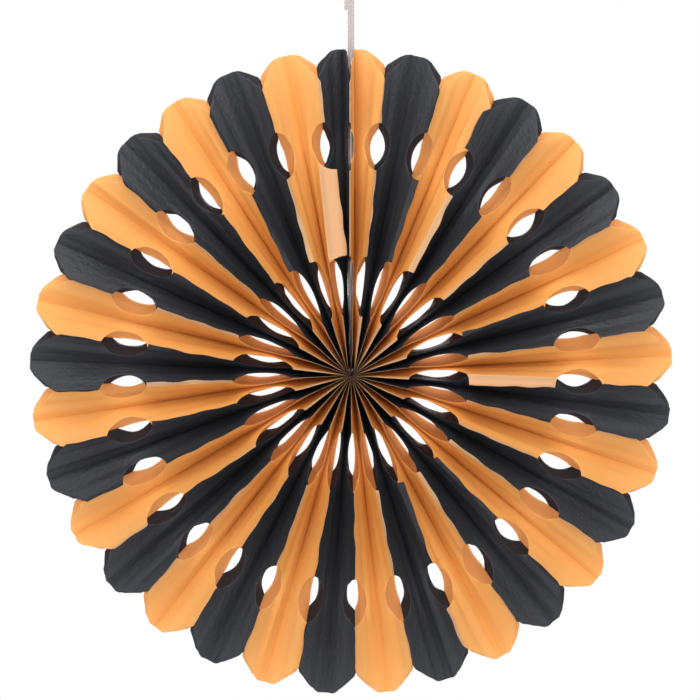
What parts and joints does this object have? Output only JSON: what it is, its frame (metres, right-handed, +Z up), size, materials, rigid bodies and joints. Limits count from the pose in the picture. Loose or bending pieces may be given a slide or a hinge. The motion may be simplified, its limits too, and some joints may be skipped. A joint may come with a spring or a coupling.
{
  "type": "paper fan medallion",
  "caption": "Round hanging decoration of pleated tissue paper in alternating orange and black petals, with cut-out windows and a hanging string.",
  "frame": {"origin": "middle of the opened fan, at half its depth", "axes": "+Z up to the hanging eye, -Y out of the front face, +X to the viewer's right"},
  "size_m": [0.4082, 0.052, 0.4866],
  "materials": {
    "orange_tissue": "matte",
    "black_tissue": "satin",
    "thread": "matte",
    "string": "matte"
  },
  "bodies": {
    "root": {"petal_end_orange": "orange_tissue", "petal_01_black": "black_tissue", "petal_02_orange": "orange_tissue", "petal_03_black": "black_tissue", "petal_04_orange": "orange_tissue", "petal_05_black": "black_tissue", "petal_06_orange": "orange_tissue", "petal_07_black": "black_tissue", "petal_08_orange": "orange_tissue", "petal_09_black": "black_tissue", "petal_10_orange": "orange_tissue", "petal_11_black": "black_tissue", "petal_12_orange": "orange_tissue", "petal_13_black": "black_tissue", "petal_14_orange": "orange_tissue", "petal_15_black": "black_tissue", "petal_16_orange": "orange_tissue", "petal_17_black": "black_tissue", "petal_18_orange": "orange_tissue", "petal_19_black": "black_tissue", "petal_20_orange": "orange_tissue", "petal_21_black": "black_tissue", "petal_22_orange": "orange_tissue", "petal_23_black": "black_tissue", "petal_24_orange": "orange_tissue", "petal_25_black": "black_tissue", "petal_26_orange": "orange_tissue", "petal_27_black": "black_tissue", "petal_28_orange": "orange_tissue", "petal_29_black": "black_tissue", "petal_30_orange": "orange_tissue", "petal_31_black": "black_tissue", "petal_32_orange": "orange_tissue", "petal_end_black": "black_tissue", "centre_thread": "thread", "hanging_string": "string", "string_knot": "string"}
  },
  "joints": []
}
